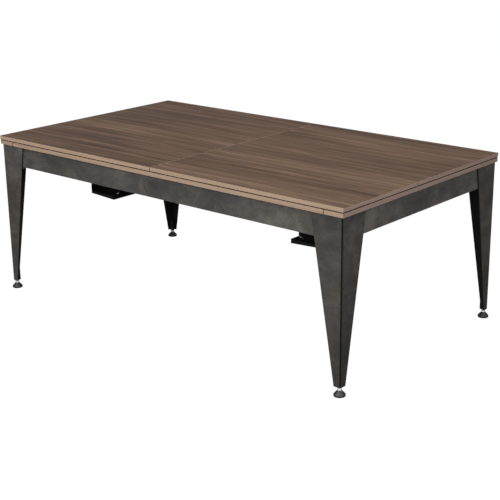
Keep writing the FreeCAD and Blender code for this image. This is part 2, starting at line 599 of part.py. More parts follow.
def bed_sheet(half_x, half_y, z0, z1):
    """A rectangle with the six pocket cut-outs, for the slate and its cloth."""
    cutters = pocket_holes(z0 - 1, z1 + 1)
    for _, sx, sy in CORNERS:
        cutters.append(box(sx * CORNER_X, sx * HALF_LENGTH, sy * CORNER_Y, sy * HALF_WIDTH, z0 - 1, z1 + 1))
    return box(-half_x, half_x, -half_y, half_y, z0, z1).cut(cutters)


def cushion_outline():
    """Cushion section: depth behind the nose, and height above the cloth."""
    top = CUSHION_HEIGHT - NOSE_DROP
    outline = [(NOSE_SETBACK, top), (CUSHION_DEPTH, CUSHION_HEIGHT - CUSHION_BACK_DROP),
               (CUSHION_DEPTH, CUSHION_BASE), (0.75 * CUSHION_DEPTH, CUSHION_BASE),
               (NOSE_SETBACK, top - NOSE_HEIGHT)]
    return outline, (0.0, top - NOSE_HEIGHT / 2)


def cushion(start, end, start_turn, end_turn, along_x, sign):
    """One cushion: a constant section, trimmed in plan to its two pocket facings."""
    nose = NOSE_Y if along_x else NOSE_X
    outline, tip = cushion_outline()
    low = min(start, start - start_turn)
    high = max(end, end + end_turn)

    def place(along, depth, height):
        reach = sign * (nose + depth)
        spot = (along, reach) if along_x else (reach, along)
        return FreeCAD.Vector(*spot, CLOTH_TOP + height)

    edges = [Part.LineSegment(place(low, *outline[k]), place(low, *outline[k + 1])).toShape()
             for k in range(4)]
    edges.append(Part.Arc(place(low, *outline[4]), place(low, *tip), place(low, *outline[0])).toShape())
    bar = Part.Face(Part.Wire(edges)).extrude(place(high, 0, 0) - place(low, 0, 0))
    plan = [place(start, -1, 0), place(end, -1, 0), place(end, 0, 0), place(end + end_turn, CUSHION_DEPTH, 0),
            place(start - start_turn, CUSHION_DEPTH, 0), place(start, 0, 0)]
    trim = Part.Face(Part.makePolygon(plan + plan[:1])).extrude(UP * CUSHION_HEIGHT)
    return bar.common(trim)


def corner_turn():
    return CUSHION_DEPTH / math.tan(math.radians(CORNER_FACING_ANGLE))


def side_turn():
    return -CUSHION_DEPTH / math.tan(math.radians(SIDE_FACING_ANGLE))


def side_cushion(sx, sy):
    """A cushion between a corner pocket and a side pocket."""
    inner = SIDE_TIP
    outer = NOSE_X - CORNER_TIP
    if sx > 0:
        return cushion(inner, outer, -side_turn(), corner_turn(), True, sy)
    return cushion(-outer, -inner, corner_turn(), -side_turn(), True, sy)


def end_cushion(sx):
    reach = NOSE_Y - CORNER_TIP
    return cushion(-reach, reach, corner_turn(), corner_turn(), False, sx)


def corner_pocket(sx, sy):
    """Moulded pocket: a horseshoe liner above the slate over a shallow cup."""
    x = sx * CORNER_X
    y = sy * CORNER_Y
    shell = rod(POCKET_OUTER, x, y, CUP_BOTTOM, CAP_TOP).cut(
        rod(POCKET_RADIUS, x, y, CUP_BOTTOM + POCKET_WALL, CAP_TOP + 1))
    mouth = box(-2 * POCKET_OUTER, 0, -2 * POCKET_OUTER, 2 * POCKET_OUTER, SLATE_TOP, CAP_TOP + 1)
    mouth.rotate(FreeCAD.Vector(0, 0, 0), UP, math.degrees(math.atan2(sy, sx)))
    mouth.translate(FreeCAD.Vector(x, y, 0))
    return shell.cut(mouth)


def bowl_throat(sy, cup_top):
    """The part of the cup's top that lies under the pocket's own opening."""
    low = cup_top - POCKET_FLOOR_OVERLAP - 1
    over = rod(POCKET_RADIUS, 0, sy * SIDE_Y, low, cup_top + 1)
    return over.common(rod(SIDE_CUP_RADIUS, 0, sy * SIDE_CUP_Y, low, cup_top + 1))


def side_pocket(sy):
    """Side pocket: liner above, and a wider cup set in towards the table under the slate."""
    y = sy * SIDE_Y
    cup_y = sy * SIDE_CUP_Y
    cup_top = SLATE_BOTTOM
    cup_outer = SIDE_CUP_RADIUS + POCKET_WALL
    liner = rod(POCKET_OUTER, 0, y, cup_top - POCKET_FLOOR_OVERLAP, CAP_TOP)
    cup = rod(cup_outer, 0, cup_y, CUP_BOTTOM, cup_top)
    hollow = rod(POCKET_RADIUS, 0, y, cup_top - POCKET_FLOOR_OVERLAP - 1, CAP_TOP + 1)
    bowl = rod(SIDE_CUP_RADIUS, 0, cup_y, CUP_BOTTOM + POCKET_WALL, cup_top - POCKET_FLOOR_OVERLAP)
    throat = bowl_throat(sy, cup_top)
    mouth = box(-2 * POCKET_OUTER, 2 * POCKET_OUTER, 0, sy * SIDE_Y, SLATE_TOP, CAP_TOP + 1)
    return liner.fuse(cup).cut([hollow, bowl, throat, mouth])


def bed_long_tubes():
    """Two tubes along the table under the slate."""
    half = BED_TUBE / 2
    return [tube(-BED_TUBE_HALF_LENGTH, BED_TUBE_HALF_LENGTH, sy * (BED_TUBE_CENTRE_Y - half),
                 sy * (BED_TUBE_CENTRE_Y + half), BED_FRAME_BOTTOM, SLATE_BOTTOM, "x")
            for sy in DEPTHS.values()]


def bed_cross_tubes():
    """Tubes across the bed: two at the ends, two over the lift trays and one in the middle."""
    half = BED_TUBE / 2
    reach = BED_TUBE_CENTRE_Y - half
    centres = [0.0]
    for place in (BED_END_TUBE_CENTRE, BED_LIFT_TUBE_CENTRE):
        centres += [-place, place]
    return [tube(x - half, x + half, -reach, reach, BED_FRAME_BOTTOM, SLATE_BOTTOM, "y")
            for x in centres]


# ---------------------------------------------------------------- dining leaves
def dining_leaf(sx):
    """One half of the dining top."""
    board = box(sx * LEAF_SEAM / 2, sx * HALF_LENGTH, -HALF_WIDTH, HALF_WIDTH, LEAF_BOTTOM, TABLE_HEIGHT)
    top_edges = [e for e in board.Edges if min(v.Z for v in e.Vertexes) > TABLE_HEIGHT - 0.1]
    return board.makeChamfer(LEAF_EDGE_BREAK, top_edges)


def leaf_pads(sx):
    """Felt strips that rest a leaf on the rail caps, set back from the edge."""
    edge = HALF_WIDTH - PAD_SETBACK
    end = HALF_LENGTH - PAD_SETBACK
    reach = edge - PAD_WIDTH - PAD_SEAM_GAP
    strips = [box(sx * PAD_SEAM_GAP, sx * end, sy * edge, sy * (edge - PAD_WIDTH), CAP_TOP, LEAF_BOTTOM)
              for sy in DEPTHS.values()]
    return strips + [box(sx * (end - PAD_WIDTH), sx * end, -reach, reach, CAP_TOP, LEAF_BOTTOM)]


def leaf_battens(sx):
    """Battens under a leaf that locate it inside the cushions."""
    low = LEAF_BOTTOM - BATTEN_DEPTH
    end = NOSE_X - BATTEN_CLEARANCE
    side = NOSE_Y - BATTEN_CLEARANCE
    reach = side - BATTEN_CORNER_GAP
    across = box(sx * end, sx * (end - BATTEN_WIDTH), -reach, reach, low, LEAF_BOTTOM)
    along = [box(sx * BATTEN_SEAM_GAP, sx * (end - BATTEN_CORNER_GAP), sy * side,
                 sy * (side - BATTEN_WIDTH), low, LEAF_BOTTOM) for sy in DEPTHS.values()]
    return [across] + along


# ---------------------------------------------------------------- write every node
def main():
    os.makedirs("parts", exist_ok=True)
    for name, sx, sy in CORNERS:
        save("leg_" + name, [leg(sx, sy)])
        save("foot_pad_" + name, [foot_pad(sx, sy)])
        save("foot_stem_" + name, [foot_stem(sx, sy)])
        save("pocket_" + name, [corner_pocket(sx, sy)])
        save("cushion_" + name, [side_cushion(sx, sy)])
    for name, sx in SIDES.items():
        save("lift_tray_" + name, [lift_tray(sx)])
        save("release_lever_" + name, [release_lever(sx)])
        save("apron_" + name, [end_apron(sx)])
        save("rail_cap_" + name, [end_cap(sx)])
        save("sub_rail_" + name, end_sub_rail(sx))
        save("cushion_" + name, [end_cushion(sx)])
        save("dining_leaf_" + name, [dining_leaf(sx)])
        save("leaf_pads_" + name, leaf_pads(sx))
        save("leaf_battens_" + name, leaf_battens(sx))
    for name, sy in DEPTHS.items():
        save("apron_" + name, [long_apron(sy)])
        save("rail_cap_" + name, [long_cap(sy)])
        save("sub_rail_" + name, long_sub_rail(sy))
        save("pocket_" + name + "_middle", [side_pocket(sy)])
    save("slate", [bed_sheet(SLATE_X, SLATE_Y, SLATE_BOTTOM, SLATE_TOP).cut(rail_bolt_holes())])
    save("bed_cloth", [bed_sheet(CAP_INNER_X - 1, CAP_INNER_Y - 1, SLATE_TOP, CLOTH_TOP)])
    save("long_frame_beams", long_beams())
    save("end_frame_beams", end_beams())
    save("cross_beams", cross_beams())
    save("frame_bolts", frame_bolts())
    save("foot_locknuts", locknuts())
    save("gas_cylinders", gas_cylinders())
    save("gas_rods", gas_rods())
    save("lever_pivots", lever_pivots())
    save("bed_long_tubes", bed_long_tubes())
    save("bed_cross_tubes", bed_cross_tubes())
    save("rail_bolts", rail_bolts())


main()
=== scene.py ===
import math

import bmesh
import bpy
from mathutils import Matrix, Vector


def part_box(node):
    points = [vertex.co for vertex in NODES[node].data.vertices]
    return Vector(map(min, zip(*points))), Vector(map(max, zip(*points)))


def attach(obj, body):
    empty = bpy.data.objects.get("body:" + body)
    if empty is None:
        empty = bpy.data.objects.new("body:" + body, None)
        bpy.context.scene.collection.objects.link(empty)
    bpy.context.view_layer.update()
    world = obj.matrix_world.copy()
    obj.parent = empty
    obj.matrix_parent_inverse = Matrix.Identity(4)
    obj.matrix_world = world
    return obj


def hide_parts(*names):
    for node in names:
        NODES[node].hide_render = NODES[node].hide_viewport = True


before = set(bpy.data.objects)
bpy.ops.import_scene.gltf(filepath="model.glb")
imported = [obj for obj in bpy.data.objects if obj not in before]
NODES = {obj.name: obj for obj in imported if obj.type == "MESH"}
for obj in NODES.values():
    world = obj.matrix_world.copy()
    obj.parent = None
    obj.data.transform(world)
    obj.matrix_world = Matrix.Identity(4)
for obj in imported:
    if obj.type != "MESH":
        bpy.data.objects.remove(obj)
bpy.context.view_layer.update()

SIDES = {"left": -1, "right": 1}
DEPTHS = {"front": -1, "back": 1}
CORNERS = [depth + "_" + side for depth in DEPTHS for side in SIDES]
scene = bpy.context.scene


# ---------------------------------------------------------------- material graphs
class Graph:
    """A material's node tree, with one short method for each kind of node used here."""

    def __init__(self, name):
        self.material = bpy.data.materials.new(name)
        self.material.use_nodes = True
        self.tree = self.material.node_tree
        self.shader = self.tree.nodes["Principled BSDF"]
        self.coordinates = self.add("ShaderNodeTexCoord")

    def add(self, kind, **settings):
        node = self.tree.nodes.new(kind)
        for key, value in settings.items():
            setattr(node, key, value)
        return node

    def link(self, value, socket):
        """Feeds a socket from another node, or sets it to a plain value."""
        if isinstance(value, bpy.types.NodeSocket):
            self.tree.links.new(value, socket)
        else:
            socket.default_value = value

    def place(self, scale=(1, 1, 1), offset=(0, 0, 0)):
        """Object coordinates in metres, stretched and shifted."""
        node = self.add("ShaderNodeMapping")
        self.link(self.coordinates.outputs["Object"], node.inputs["Vector"])
        node.inputs["Scale"].default_value = scale
        node.inputs["Location"].default_value = offset
        return node.outputs["Vector"]

    def noise(self, vector, detail=4.0, roughness=0.55, distortion=0.0):
        node = self.add("ShaderNodeTexNoise")
        self.link(vector, node.inputs["Vector"])
        node.inputs["Scale"].default_value = 1.0
        node.inputs["Detail"].default_value = detail
        node.inputs["Roughness"].default_value = roughness
        node.inputs["Distortion"].default_value = distortion
        return node.outputs["Fac"]

    def math(self, operation, a, b=0.0, c=0.0):
        """One arithmetic node; each operand is a number or another node's output."""
        node = self.add("ShaderNodeMath", operation=operation)
        for socket, value in zip(node.inputs, (a, b, c)):
            self.link(value, socket)
        return node.outputs[0]

    def ramp(self, value, stops):
        """Colour stops as position and linear RGB."""
        node = self.add("ShaderNodeValToRGB")
        self.link(value, node.inputs["Fac"])
        ramp = node.color_ramp
        while len(ramp.elements) < len(stops):
            ramp.elements.new(0.5)
        for element, (position, colour) in zip(ramp.elements, stops):
            element.position = position
            element.color = (*colour, 1.0)
        return node.outputs["Color"]

    def remap(self, value, low, high, out_low=0.0, out_high=1.0):
        """A value between two limits, stretched to two others and held at them."""
        node = self.add("ShaderNodeMapRange")
        self.link(value, node.inputs["Value"])
        limits = {"From Min": low, "From Max": high, "To Min": out_low, "To Max": out_high}
        for name, number in limits.items():
            node.inputs[name].default_value = number
        return node.outputs["Result"]

    def mix(self, factor, a, b, blend="MIX"):
        node = self.add("ShaderNodeMix", data_type="RGBA", blend_type=blend)
        self.link(factor, node.inputs["Factor"])
        for value, socket in ((a, node.inputs[6]), (b, node.inputs[7])):
            if not isinstance(value, bpy.types.NodeSocket):
                value = (*value, 1.0)
            self.link(value, socket)
        return node.outputs[2]

    def parts(self, vector):
        """The X, Y and Z outputs of a vector."""
        node = self.add("ShaderNodeSeparateXYZ")
        self.link(vector, node.inputs[0])
        return node.outputs

    def join(self, x, y, z):
        node = self.add("ShaderNodeCombineXYZ")
        for socket, value in zip(node.inputs, (x, y, z)):
            self.link(value, socket)
        return node.outputs[0]

    def normal(self):
        """The surface's direction in the object's own axes."""
        return self.parts(self.coordinates.outputs["Normal"])

    def bump(self, height, strength, distance):
        """A fine relief in the surface; distance is its depth in metres."""
        node = self.add("ShaderNodeBump")
        self.link(height, node.inputs["Height"])
        node.inputs["Strength"].default_value = strength
        node.inputs["Distance"].default_value = distance
        self.link(node.outputs["Normal"], self.shader.inputs["Normal"])

    def set(self, **values):
        """Sets or links the shader's sockets, named with _ for a space."""
        for key, value in values.items():
            self.link(value, self.shader.inputs[key.replace("_", " ")])


DRIFT_ALONG = 1.1         # how fast the streaks wander along the grain
DRIFT_ACROSS = 2.0
DRIFT_WIDTH = 0.05        # how far they wander, in metres


def grain_coordinates(graph, along, offset):
    """Coordinates whose X runs along the grain, bent a little so that the streaks wander."""
    parts = graph.parts(graph.place(offset=offset))
    run = parts["XYZ".index(along)]
    across = parts[1 - "XYZ".index(along)]
    slow_run = graph.math("MULTIPLY", run, DRIFT_ALONG)
    slow_across = graph.math("MULTIPLY", across, DRIFT_ACROSS)
    drift = graph.noise(graph.join(slow_run, slow_across, 0.0), 2.0)
    bent = graph.math("MULTIPLY_ADD", graph.math("SUBTRACT", drift, 0.5), DRIFT_WIDTH, across)
    return run, bent, parts[2]


def stretched(graph, run, across, height, run_scale, across_scale):
    """Grain coordinates scaled along the grain and across it."""
    return graph.join(graph.math("MULTIPLY", run, run_scale), graph.math("MULTIPLY", across, across_scale),
                      graph.math("MULTIPLY", height, across_scale))


WALNUT = [(0.06, (0.028, 0.0150, 0.0090)), (0.36, (0.059, 0.0345, 0.0215)),
          (0.62, (0.090, 0.0535, 0.0335)), (0.94, (0.135, 0.083, 0.053))]
BAND_FRONT = [(0.2, (0.212, 0.143, 0.098)), (0.5, (0.300, 0.212, 0.151)), (0.8, (0.352, 0.257, 0.189))]
# the end bands: the same band colour, darkened as painted shade
BAND_END_SHADED = [(0.2, (0.172, 0.120, 0.098)), (0.5, (0.232, 0.167, 0.138)), (0.8, (0.287, 0.208, 0.174))]
BAND_GAIN = {"leaf": 0.945, "cap": 0.89}     # how light the edge bands of each board are
JOINT_SHADE = (0.022, 0.015, 0.011)
PORE_COLOUR = (0.036, 0.023, 0.017)
# Each layer of the grain: scale along and across it, then the noise's detail, roughness and distortion.
GRAIN_LAYERS = {
    "broad": (0.55, 11.0, 4.0, 0.55, 0.3),
    "streak": (1.3, 42.0, 6.0, 0.62, 0.2),
    "thread": (4.0, 190.0, 4.0, 0.6, 0.0),
    "pore": (14.0, 640.0, 3.0, 0.6, 0.0),
}
BROAD_SHARE = 0.30        # what each layer gives to the tone
STREAK_SHARE = 0.45
THREAD_SHARE = 0.25
TONE_LIMITS = (0.375, 0.625)  # tone at the dark and the light end of the colours
PORE_LIMITS = (0.56, 0.72)    # where a pore begins and is darkest
PORE_SHARE = 0.4
BAND_SCALE = (5.0, 380.0)     # grain of the edge bands: along the edge, and up it
RIM_HIGHLIGHT_SHARE = 0.30          # painted highlight: how much of the band's colour shows on the edge seen from above
SHADE_SHARE = 0.85        # how dark the shaded lines at the gaps are
FACING = 0.8              # least share of a face's normal along the axis that it faces
EDGE_LINE = 0.0014        # thickness of an edge band seen from above
SEAM_SHADE = 0.0012       # depth of the painted shade on a leaf's side at the seam
GAP_SHADE = 0.0007        # painted shade along the gap between the leaves and the caps
JOINT_LINE = 0.0022       # half the width of the shaded line at a joint of the rail caps


def either(graph, a, b):
    return graph.math("MAXIMUM", a, b)


def both(graph, a, b):
    return graph.math("MULTIPLY", a, b)


def above(graph, value, limit):
    return graph.math("GREATER_THAN", value, limit)


def below(graph, value, limit):
    return graph.math("LESS_THAN", value, limit)


def band_colours(graph, position, offset, gain):
    """Colour of the edge bands on the long sides and on the ends; the ends' colour is the long sides' band
    colour with painted shade.
    """
    along_scale, up_scale = BAND_SCALE
    colours = []
    for run, stops in zip(position, (BAND_FRONT, BAND_END_SHADED)):
        lines = graph.noise(graph.join(graph.math("MULTIPLY", run, along_scale), offset,
                                       graph.math("MULTIPLY", position[2], up_scale)), 4.0, 0.6)
        tinted = [(place, tuple(gain * part for part in tint)) for place, tint in stops]
        colours.append(graph.ramp(lines, tinted))
    return colours


def walnut(name, along, offset):
    """Walnut-pattern laminate with its streaks along one axis, and lighter bands on the edges; a painted
    highlight on the leaves' top edges and painted shade at the seams and gaps.
    """
    graph = Graph(name)
    run, across, height = grain_coordinates(graph, along, offset)
    broad, streak, thread, pore = (
        graph.noise(stretched(graph, run, across, height, *layer[:2]), *layer[2:])
        for layer in GRAIN_LAYERS.values())
    tone = graph.math("MULTIPLY_ADD", broad, BROAD_SHARE, graph.math("MULTIPLY", streak, STREAK_SHARE))
    tone = graph.math("MULTIPLY_ADD", thread, THREAD_SHARE, tone)
    top = graph.ramp(graph.remap(tone, *TONE_LIMITS), WALNUT)
    dark_pore = graph.remap(pore, *PORE_LIMITS)
    top = graph.mix(graph.math("MULTIPLY", dark_pore, PORE_SHARE), top, PORE_COLOUR)
    position = graph.parts(graph.place())
    size_x = graph.math("ABSOLUTE", position[0])
    size_y = graph.math("ABSOLUTE", position[1])
    normal = [graph.math("ABSOLUTE", part) for part in graph.normal()]
    faces_x = above(graph, normal[0], FACING)
    faces_y = above(graph, normal[1], FACING)
    front, end = band_colours(graph, position, offset[0], BAND_GAIN[name.split("_")[1]])
    colour = graph.mix(faces_y, top, front)
    # painted shade: faces turned along X get the darker copy of the band colour
    colour = graph.mix(faces_x, colour, end)
    if "leaf" in name:
        low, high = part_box("dining_leaf_right")
        near_seam = below(graph, size_x, low.x + EDGE_LINE)
        near_side = above(graph, size_y, high.y - EDGE_LINE)
        # painted highlight along the leaf's top edges at the seam and the long sides
        highlight_rim = both(graph, either(graph, near_seam, near_side), above(graph, position[2], high.z - EDGE_LINE))
        colour = graph.mix(graph.math("MULTIPLY", highlight_rim, RIM_HIGHLIGHT_SHARE), colour, front)
        # painted shade on the leaf's side faces in the gap at the seam
        beside_seam = below(graph, size_x, low.x + SEAM_SHADE)
        seam = both(graph, beside_seam, below(graph, position[2], high.z - EDGE_LINE))
        gap_shaded = below(graph, position[2], low.z + GAP_SHADE)
    else:
        seam_x = (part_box("rail_cap_front")[1].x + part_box("rail_cap_right")[0].x) / 2
        distance = graph.math("ABSOLUTE", graph.math("SUBTRACT", size_x, seam_x))
        past_cushions = above(graph, size_y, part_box("cushion_back_left")[1].y)
        seam = both(graph, below(graph, distance, JOINT_LINE), past_cushions)
        gap_shaded = above(graph, position[2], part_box("rail_cap_front")[1].z - GAP_SHADE)
    # painted shade at the seam and on the side faces along the gaps, together with the dark lines at the cap
    # joints
    seam = either(graph, seam, both(graph, either(graph, faces_x, faces_y), gap_shaded))
    colour = graph.mix(graph.math("MULTIPLY", seam, SHADE_SHARE), colour, JOINT_SHADE)
    graph.set(Base_Color=colour, Roughness=graph.remap(streak, 0.3, 0.7, 0.52, 0.66))
    graph.shader.inputs["Specular IOR Level"].default_value = 0.13
    relief = graph.math("ADD", graph.math("MULTIPLY", pore, 0.7), graph.math("MULTIPLY", thread, 0.3))
    graph.bump(relief, 0.2, 0.0002)
    return graph.material


STEEL = [(0.0, (0.024, 0.0225, 0.0210)), (0.35, (0.035, 0.0325, 0.0300)), (0.6, (0.051, 0.0460, 0.0405)),
         (1.0, (0.084, 0.0750, 0.0660))]
# painted shade on the legs' inner, downward and open-corner faces
STEEL_INSIDE_SHADE = (0.010, 0.010, 0.0095)
# painted shade on the lower part of the legs' sides
STEEL_SIDE_SHADE = (0.010, 0.0095, 0.009)
STEEL_BLUE = (0.031, 0.033, 0.034)
# How light a plate is next to the others; a plate that isn't listed is 1.
STEEL_GAIN = {"apron_left": 1.5, "apron_right": 1.5, "apron_front": 1.42, "apron_back": 1.42,
              "leg_front_left": 1.2, "leg_front_right": 0.92}
SIDE_SHADE_HEIGHTS = (0.05, 0.70)   # painted shade: the legs' sides are darkest at the first height, and unshaded at the second
SIDE_SHADE_SHARE = 0.50
LEG_FACING = 0.6          # least share of a leg face's normal along the axis that it faces
LEG_SKIN = 0.0045         # a side deeper than this behind the leg's outer face is in its open corner


def shaded_inside_of_leg(graph, position, normal):
    """Where a leg's faces turn towards the table, down, or into the open corner between its flanges; these
    faces get painted shade.
    """
    _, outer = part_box("leg_back_right")
    inside = above(graph, graph.math("ABSOLUTE", normal[2]), LEG_FACING)
    for axis, limit in ((0, outer.x), (1, outer.y)):
        outwards = both(graph, graph.math("SIGN", position[axis]), normal[axis])
        inside = either(graph, inside, below(graph, outwards, -0.5))
        side = above(graph, graph.math("ABSOLUTE", normal[axis]), LEG_FACING)
        size = graph.math("ABSOLUTE", position[axis])
        inside = either(graph, inside, both(graph, side, below(graph, size, limit - LEG_SKIN)))
    return inside


def dark_steel(name, seed):
    """Blackened steel plate with cloudy patches and a fine tooth; the legs get painted shade on their inner,
    downward and open-corner faces, and towards the bottom of their sides.
    """
    graph = Graph(name)
    patch = graph.noise(graph.place((2.2, 2.2, 3.2), (0, seed, 0)), 3.0, 0.5, 0.4)
    cloud = graph.noise(graph.place((7.0, 7.0, 10.0), (seed, 0, 0)), 8.0, 0.66, 0.8)
    smudge = graph.noise(graph.place((30.0, 30.0, 42.0), (0, 0, seed)), 6.0, 0.7, 0.5)
    tooth = graph.noise(graph.place((900, 900, 900)), 2.0, 0.6)
    tone = graph.math("MULTIPLY_ADD", cloud, 0.45, graph.math("MULTIPLY", patch, 0.35))
    tone = graph.math("MULTIPLY_ADD", smudge, 0.20, tone)
    colour = graph.ramp(graph.remap(tone, 0.36, 0.64), STEEL)
    blue = graph.noise(graph.place((3.5, 3.5, 5.0), (seed, seed, 4.0)), 4.0, 0.6)
    colour = graph.mix(graph.remap(blue, 0.48, 0.66, 0.0, 0.4), colour, STEEL_BLUE)
    gain = STEEL_GAIN.get(name[len("steel_"):], 1.0)
    colour = graph.mix(1.0, colour, (gain, gain, gain), "MULTIPLY")
    if "leg" in name:
        position = graph.parts(graph.place())
        normal = graph.normal()
        on_side = above(graph, graph.math("ABSOLUTE", normal[0]), LEG_FACING)
        # painted shade: the legs' sides facing X get darker towards the bottom
        painted_low_shade = graph.remap(position[2], *SIDE_SHADE_HEIGHTS, SIDE_SHADE_SHARE, 0.0)
        colour = graph.mix(both(graph, on_side, painted_low_shade), colour, STEEL_SIDE_SHADE)
        # painted shade on the faces turned inwards, down, or into the open corner
        colour = graph.mix(shaded_inside_of_leg(graph, position, normal), colour, STEEL_INSIDE_SHADE)
    graph.set(Base_Color=colour, Roughness=graph.remap(cloud, 0.3, 0.7, 0.56, 0.44))
    graph.shader.inputs["Metallic"].default_value = 0.1
    graph.shader.inputs["Specular IOR Level"].default_value = 0.2
    graph.bump(graph.math("ADD", graph.math("MULTIPLY", tooth, 0.5), cloud), 0.12, 0.0004)
    return graph.material


def black_powder(name):
    """Black powder coat with a fine orange peel."""
    graph = Graph(name)
    peel = graph.noise(graph.place((700, 700, 700)), 2.0, 0.5)
    cloud = graph.noise(graph.place((9, 9, 9)), 4.0)
    shades = [(0.3, (0.0046, 0.0047, 0.0044)), (0.7, (0.0076, 0.0077, 0.0072))]
    graph.set(Base_Color=graph.ramp(cloud, shades), Roughness=graph.remap(cloud, 0.3, 0.7, 0.55, 0.68))
    graph.shader.inputs["Specular IOR Level"].default_value = 0.12
    graph.bump(peel, 0.25, 0.0002)
    return graph.material


def plated(name, colour, roughness, brushed, metallic=1.0):
    """Bright metal: chrome or zinc, with faint handling marks."""
    graph = Graph(name)
    smear = graph.noise(graph.place((40, 40, 90)), 5.0, 0.6)
    lines = graph.noise(graph.place((300, 300, 2500)), 2.0, 0.5)
    shade = graph.mix(graph.remap(smear, 0.3, 0.7), colour, tuple(0.82 * c for c in colour))
    graph.set(Base_Color=shade, Roughness=graph.remap(smear, 0.3, 0.7, roughness, roughness + 0.10))
    graph.shader.inputs["Metallic"].default_value = metallic
    graph.bump(lines, brushed, 0.0001)
    return graph.material


def moulded(name, colour, roughness, grain):
    """Moulded plastic or rubber with a fine texture."""
    graph = Graph(name)
    fine = graph.noise(graph.place((grain, grain, grain)), 3.0, 0.6)
    cloud = graph.noise(graph.place((14, 14, 14)), 3.0)
    graph.set(Base_Color=graph.mix(cloud, colour, tuple(1.5 * c for c in colour)),
              Roughness=graph.remap(cloud, 0.3, 0.7, roughness, roughness + 0.1))
    graph.bump(fine, 0.12, 0.0002)
    return graph.material


GREEN = [(0.25, (0.006, 0.060, 0.032)), (0.55, (0.010, 0.094, 0.050)), (0.8, (0.022, 0.140, 0.078))]
DEEP_GREEN = (0.005, 0.055, 0.031)
THREAD_SCALE = 7000.0     # radians a metre, which makes a thread every 0.9 mm


def cloth(name):
    """Napless green wool: a fine plain weave with a slight heathered colour."""
    graph = Graph(name)
    position = graph.parts(graph.place())
    weft, warp = (graph.math("SINE", graph.math("MULTIPLY", part, THREAD_SCALE)) for part in position[:2])
    weave = graph.math("MULTIPLY", weft, warp)
    fuzz = graph.noise(graph.place((600, 600, 600)), 4.0, 0.7)
    cloud = graph.noise(graph.place((4, 4, 4)), 4.0, 0.6)
    colour = graph.ramp(fuzz, GREEN)
    colour = graph.mix(graph.math("MULTIPLY", cloud, 0.25), colour, DEEP_GREEN)
    graph.set(Base_Color=colour)
    graph.shader.inputs["Roughness"].default_value = 0.9
    graph.shader.inputs["Sheen Weight"].default_value = 0.10
    graph.shader.inputs["Sheen Roughness"].default_value = 0.4
    graph.shader.inputs["Specular IOR Level"].default_value = 0.2
    graph.bump(graph.math("ADD", graph.math("MULTIPLY", weave, 0.15), fuzz), 0.35, 0.0003)
    return graph.material


def speckled(name, stops, scale, roughness, strength):
    """Stone or felt: a speckled colour with the same grain in its bump."""
    graph = Graph(name)
    grain = graph.noise(graph.place((scale, scale, scale)), 5.0, 0.7)
    cloud = graph.noise(graph.place((6, 6, 6)), 4.0, 0.6)
    graph.set(Base_Color=graph.ramp(graph.math("ADD", graph.math("MULTIPLY", grain, 0.6),
                                               graph.math("MULTIPLY", cloud, 0.4)), stops))
    graph.shader.inputs["Roughness"].default_value = roughness
    graph.bump(grain, strength, 0.0003)
    return graph.material


BIRCH = [(0.3, (0.42, 0.29, 0.17)), (0.5, (0.52, 0.38, 0.24)), (0.7, (0.60, 0.46, 0.31))]
BIRCH_FIBRE = (0.30, 0.20, 0.12)


def birch(name):
    """Pale structural timber for the hidden rails and battens."""
    graph = Graph(name)
    ring = graph.noise(graph.place((2.5, 40, 40)), 5.0, 0.6, 0.4)
    fibre = graph.noise(graph.place((12, 500, 500)), 3.0, 0.6)
    colour = graph.mix(graph.math("MULTIPLY", fibre, 0.35), graph.ramp(ring, BIRCH), BIRCH_FIBRE)
    graph.set(Base_Color=colour, Roughness=graph.remap(ring, 0.3, 0.7, 0.55, 0.68))
    graph.bump(fibre, 0.3, 0.0003)
    return graph.material


SLATE_STONE = [(0.3, (0.09, 0.10, 0.11)), (0.5, (0.13, 0.14, 0.15)), (0.7, (0.17, 0.18, 0.19))]
BLACK_FELT = [(0.3, (0.010, 0.010, 0.010)), (0.7, (0.035, 0.034, 0.033))]
MATERIALS = {
    "powder": black_powder("black_powder_coat"),
    "chrome": plated("polished_chrome", (0.90, 0.90, 0.91), 0.12, 0.05, 0.6),
    "zinc": plated("zinc_plate", (0.62, 0.62, 0.64), 0.25, 0.2, 0.6),
    "black_zinc": plated("black_zinc", (0.10, 0.10, 0.105), 0.35, 0.2),
    "plastic": moulded("black_plastic", (0.0085, 0.0085, 0.0090), 0.42, 500.0),
    "rubber": moulded("pocket_rubber", (0.014, 0.013, 0.012), 0.5, 300.0),
    "cloth": cloth("green_cloth"),
    "slate": speckled("slate_stone", SLATE_STONE, 180.0, 0.6, 0.3),
    "felt": speckled("black_felt", BLACK_FELT, 900.0, 0.95, 0.6),
    "birch": birch("birch_timber"),
}


def paint(material, *names):
    """Gives CAD nodes a material in their own slots."""
    for name in names:
        slots = NODES[name].material_slots
        if not slots:
            NODES[name].data.materials.append(material)
        for slot in slots:
            slot.material = material


